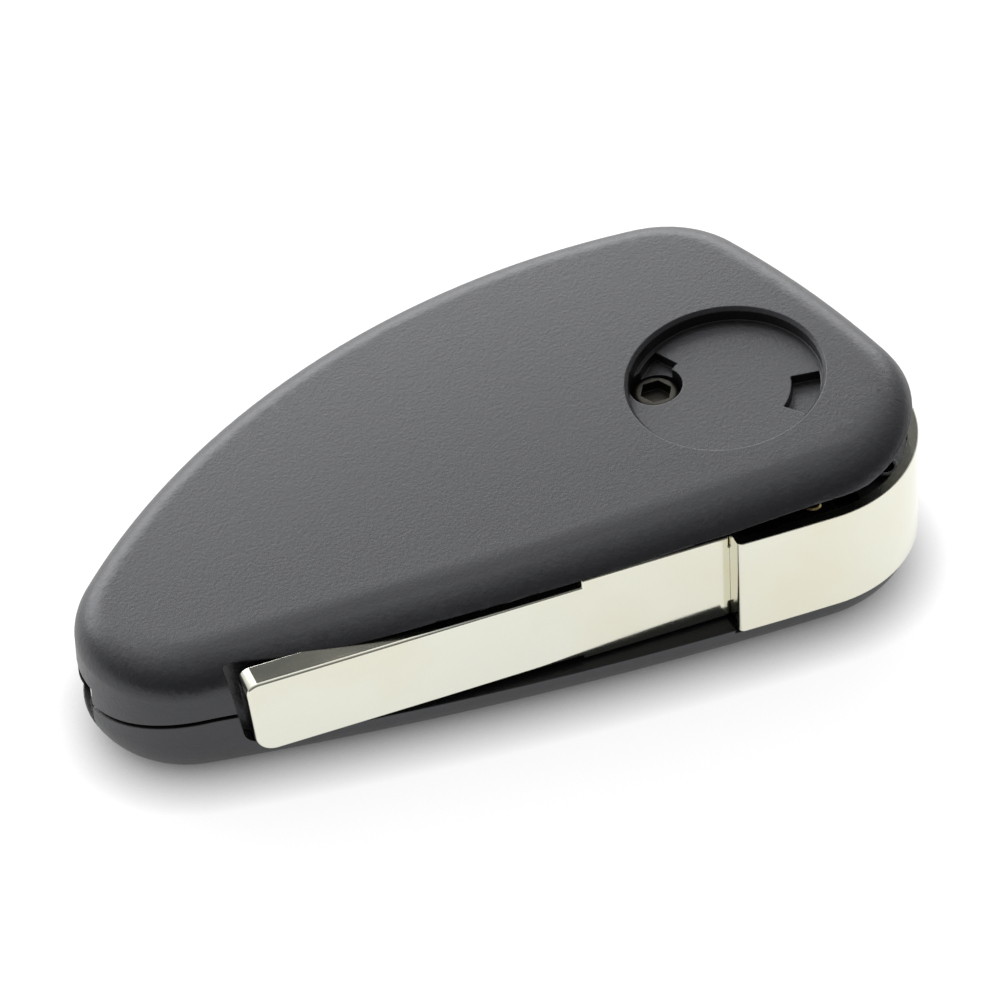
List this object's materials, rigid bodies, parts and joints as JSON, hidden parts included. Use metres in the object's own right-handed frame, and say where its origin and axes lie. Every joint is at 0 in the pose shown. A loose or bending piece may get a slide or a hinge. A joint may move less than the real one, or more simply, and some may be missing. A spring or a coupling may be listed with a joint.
{
  "type": "key fob shell",
  "caption": "Folding remote-key shell: rounded-triangle case with push buttons, round emblem seat, keyring notch and an uncut blade that swings out on a pivot.",
  "frame": {"origin": "under the middle of the whole part, on the plane of the button side", "axes": "+X from the keyring end to the pivot end, -Y towards the side that the blade folds into, +Z out of the face with the emblem seat"},
  "size_m": [0.0712, 0.038, 0.0186],
  "materials": {
    "case_plastic": "fine grain",
    "core_plastic": "moulded, semi-matt",
    "button_plastic": "satin",
    "button_rubber": "soft matt",
    "nickel": "nickel plate, lightly brushed",
    "steel": "plain",
    "brass": "turned"
  },
  "bodies": {
    "case": {"rear_shell": "case_plastic", "front_shell": "case_plastic", "spring_cap": "core_plastic", "hinge_washer": "core_plastic", "flip_spring": "steel", "shell_screw": "steel", "threaded_insert": "brass", "keyring_bar": "nickel", "button_mat": "button_rubber", "inner_frame": "core_plastic", "battery_clip": "steel"},
    "flip_head": {"head_band": "nickel", "head_core": "core_plastic", "key_blade": "nickel", "blade_pin": "brass"},
    "release": {"release_button": "button_plastic", "latch_collar": "steel"},
    "lock_key": {"lock_button": "button_rubber"},
    "unlock_key": {"unlock_button": "button_rubber"},
    "boot_key": {"boot_button": "button_rubber"}
  },
  "joints": [
    {"name": "blade_flip", "type": "hinge", "parent": "case", "child": "flip_head", "pos_m": [0.02627, -0.00911, 0.0088], "axis": [0, 0, 1], "range_deg": [0, 180]},
    {"name": "release_press", "type": "slide", "parent": "case", "child": "release", "axis": [0, 0, 1], "range_m": [0, 0.0012], "stiffness_N_per_m": 1500, "springref_m": -0.0005, "deforming": ["flip_spring"]},
    {"name": "lock_press", "type": "slide", "parent": "case", "child": "lock_key", "axis": [0, 0, 1], "range_m": [0, 0.0005], "stiffness_N_per_m": 3000, "springref_m": -0.0003},
    {"name": "unlock_press", "type": "slide", "parent": "case", "child": "unlock_key", "axis": [0, 0, 1], "range_m": [0, 0.0005], "stiffness_N_per_m": 3000, "springref_m": -0.0003},
    {"name": "boot_press", "type": "slide", "parent": "case", "child": "boot_key", "axis": [0, 0, 1], "range_m": [0, 0.0005], "stiffness_N_per_m": 3000, "springref_m": -0.0003}
  ]
}
